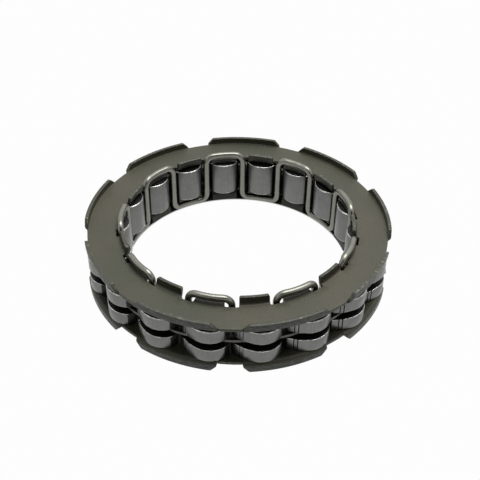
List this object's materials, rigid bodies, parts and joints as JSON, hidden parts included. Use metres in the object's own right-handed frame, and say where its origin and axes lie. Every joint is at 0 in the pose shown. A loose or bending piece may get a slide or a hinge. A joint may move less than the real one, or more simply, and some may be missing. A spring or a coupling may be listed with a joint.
{
  "type": "sprag clutch",
  "caption": "Sprag clutch insert: rocking cam sprags caged between pressed plates and held by a meander wire spring, for one-way drive between plain races.",
  "frame": {"origin": "on the clutch's axis, midway between the upper and lower plates", "axes": "+Z along the clutch's axis, out of the upper plate; +X through the middle of the first sprag and of a tab of the upper plate"},
  "size_m": [0.061, 0.0609, 0.0126],
  "materials": {
    "phosphated_plate": "dark olive-grey phosphate on pressed steel",
    "spring_wire": "satin drawn spring wire",
    "ring_steel": "plain rolled strip steel",
    "sprag_steel": "ground cams, blackened sides and ends"
  },
  "bodies": {
    "cage": {"upper_plate": "phosphated_plate", "lower_plate": "phosphated_plate", "meander_spring": "spring_wire", "centre_ring": "ring_steel"},
    "sprag_01": {"sprag_01": "sprag_steel"},
    "sprag_02": {"sprag_02": "sprag_steel"},
    "sprag_03": {"sprag_03": "sprag_steel"},
    "sprag_04": {"sprag_04": "sprag_steel"},
    "sprag_05": {"sprag_05": "sprag_steel"},
    "sprag_06": {"sprag_06": "sprag_steel"},
    "sprag_07": {"sprag_07": "sprag_steel"},
    "sprag_08": {"sprag_08": "sprag_steel"},
    "sprag_09": {"sprag_09": "sprag_steel"},
    "sprag_10": {"sprag_10": "sprag_steel"},
    "sprag_11": {"sprag_11": "sprag_steel"},
    "sprag_12": {"sprag_12": "sprag_steel"},
    "sprag_13": {"sprag_13": "sprag_steel"},
    "sprag_14": {"sprag_14": "sprag_steel"},
    "sprag_15": {"sprag_15": "sprag_steel"},
    "sprag_16": {"sprag_16": "sprag_steel"},
    "sprag_17": {"sprag_17": "sprag_steel"},
    "sprag_18": {"sprag_18": "sprag_steel"}
  },
  "joints": [
    {"name": "sprag_01_tilt", "type": "hinge", "parent": "cage", "child": "sprag_01", "pos_m": [0.02575, 0, 0], "axis": [0, 0, 1], "range_deg": [0, 8], "stiffness_Nm_per_rad": 0.01, "springref_deg": -5.73},
    {"name": "sprag_02_tilt", "type": "hinge", "parent": "cage", "child": "sprag_02", "pos_m": [0.0242, 0.00881, 0], "axis": [0, 0, 1], "range_deg": [0, 8], "stiffness_Nm_per_rad": 0.01, "springref_deg": -5.73},
    {"name": "sprag_03_tilt", "type": "hinge", "parent": "cage", "child": "sprag_03", "pos_m": [0.01973, 0.01655, 0], "axis": [0, 0, 1], "range_deg": [0, 8], "stiffness_Nm_per_rad": 0.01, "springref_deg": -5.73},
    {"name": "sprag_04_tilt", "type": "hinge", "parent": "cage", "child": "sprag_04", "pos_m": [0.01287, 0.0223, 0], "axis": [0, 0, 1], "range_deg": [0, 8], "stiffness_Nm_per_rad": 0.01, "springref_deg": -5.73},
    {"name": "sprag_05_tilt", "type": "hinge", "parent": "cage", "child": "sprag_05", "pos_m": [0.00447, 0.02536, 0], "axis": [0, 0, 1], "range_deg": [0, 8], "stiffness_Nm_per_rad": 0.01, "springref_deg": -5.73},
    {"name": "sprag_06_tilt", "type": "hinge", "parent": "cage", "child": "sprag_06", "pos_m": [-0.00447, 0.02536, 0], "axis": [0, 0, 1], "range_deg": [0, 8], "stiffness_Nm_per_rad": 0.01, "springref_deg": -5.73},
    {"name": "sprag_07_tilt", "type": "hinge", "parent": "cage", "child": "sprag_07", "pos_m": [-0.01287, 0.0223, 0], "axis": [0, 0, 1], "range_deg": [0, 8], "stiffness_Nm_per_rad": 0.01, "springref_deg": -5.73},
    {"name": "sprag_08_tilt", "type": "hinge", "parent": "cage", "child": "sprag_08", "pos_m": [-0.01973, 0.01655, 0], "axis": [0, 0, 1], "range_deg": [0, 8], "stiffness_Nm_per_rad": 0.01, "springref_deg": -5.73},
    {"name": "sprag_09_tilt", "type": "hinge", "parent": "cage", "child": "sprag_09", "pos_m": [-0.0242, 0.00881, 0], "axis": [0, 0, 1], "range_deg": [0, 8], "stiffness_Nm_per_rad": 0.01, "springref_deg": -5.73},
    {"name": "sprag_10_tilt", "type": "hinge", "parent": "cage", "child": "sprag_10", "pos_m": [-0.02575, 0, 0], "axis": [0, 0, 1], "range_deg": [0, 8], "stiffness_Nm_per_rad": 0.01, "springref_deg": -5.73},
    {"name": "sprag_11_tilt", "type": "hinge", "parent": "cage", "child": "sprag_11", "pos_m": [-0.0242, -0.00881, 0], "axis": [0, 0, 1], "range_deg": [0, 8], "stiffness_Nm_per_rad": 0.01, "springref_deg": -5.73},
    {"name": "sprag_12_tilt", "type": "hinge", "parent": "cage", "child": "sprag_12", "pos_m": [-0.01973, -0.01655, 0], "axis": [0, 0, 1], "range_deg": [0, 8], "stiffness_Nm_per_rad": 0.01, "springref_deg": -5.73},
    {"name": "sprag_13_tilt", "type": "hinge", "parent": "cage", "child": "sprag_13", "pos_m": [-0.01287, -0.0223, 0], "axis": [0, 0, 1], "range_deg": [0, 8], "stiffness_Nm_per_rad": 0.01, "springref_deg": -5.73},
    {"name": "sprag_14_tilt", "type": "hinge", "parent": "cage", "child": "sprag_14", "pos_m": [-0.00447, -0.02536, 0], "axis": [0, 0, 1], "range_deg": [0, 8], "stiffness_Nm_per_rad": 0.01, "springref_deg": -5.73},
    {"name": "sprag_15_tilt", "type": "hinge", "parent": "cage", "child": "sprag_15", "pos_m": [0.00447, -0.02536, 0], "axis": [0, 0, 1], "range_deg": [0, 8], "stiffness_Nm_per_rad": 0.01, "springref_deg": -5.73},
    {"name": "sprag_16_tilt", "type": "hinge", "parent": "cage", "child": "sprag_16", "pos_m": [0.01287, -0.0223, 0], "axis": [0, 0, 1], "range_deg": [0, 8], "stiffness_Nm_per_rad": 0.01, "springref_deg": -5.73},
    {"name": "sprag_17_tilt", "type": "hinge", "parent": "cage", "child": "sprag_17", "pos_m": [0.01973, -0.01655, 0], "axis": [0, 0, 1], "range_deg": [0, 8], "stiffness_Nm_per_rad": 0.01, "springref_deg": -5.73},
    {"name": "sprag_18_tilt", "type": "hinge", "parent": "cage", "child": "sprag_18", "pos_m": [0.0242, -0.00881, 0], "axis": [0, 0, 1], "range_deg": [0, 8], "stiffness_Nm_per_rad": 0.01, "springref_deg": -5.73}
  ],
  "couplings": [
    {"joint": "sprag_02_tilt", "follows": "sprag_01_tilt", "ratio": 1},
    {"joint": "sprag_03_tilt", "follows": "sprag_01_tilt", "ratio": 1},
    {"joint": "sprag_04_tilt", "follows": "sprag_01_tilt", "ratio": 1},
    {"joint": "sprag_05_tilt", "follows": "sprag_01_tilt", "ratio": 1},
    {"joint": "sprag_06_tilt", "follows": "sprag_01_tilt", "ratio": 1},
    {"joint": "sprag_07_tilt", "follows": "sprag_01_tilt", "ratio": 1},
    {"joint": "sprag_08_tilt", "follows": "sprag_01_tilt", "ratio": 1},
    {"joint": "sprag_09_tilt", "follows": "sprag_01_tilt", "ratio": 1},
    {"joint": "sprag_10_tilt", "follows": "sprag_01_tilt", "ratio": 1},
    {"joint": "sprag_11_tilt", "follows": "sprag_01_tilt", "ratio": 1},
    {"joint": "sprag_12_tilt", "follows": "sprag_01_tilt", "ratio": 1},
    {"joint": "sprag_13_tilt", "follows": "sprag_01_tilt", "ratio": 1},
    {"joint": "sprag_14_tilt", "follows": "sprag_01_tilt", "ratio": 1},
    {"joint": "sprag_15_tilt", "follows": "sprag_01_tilt", "ratio": 1},
    {"joint": "sprag_16_tilt", "follows": "sprag_01_tilt", "ratio": 1},
    {"joint": "sprag_17_tilt", "follows": "sprag_01_tilt", "ratio": 1},
    {"joint": "sprag_18_tilt", "follows": "sprag_01_tilt", "ratio": 1}
  ]
}
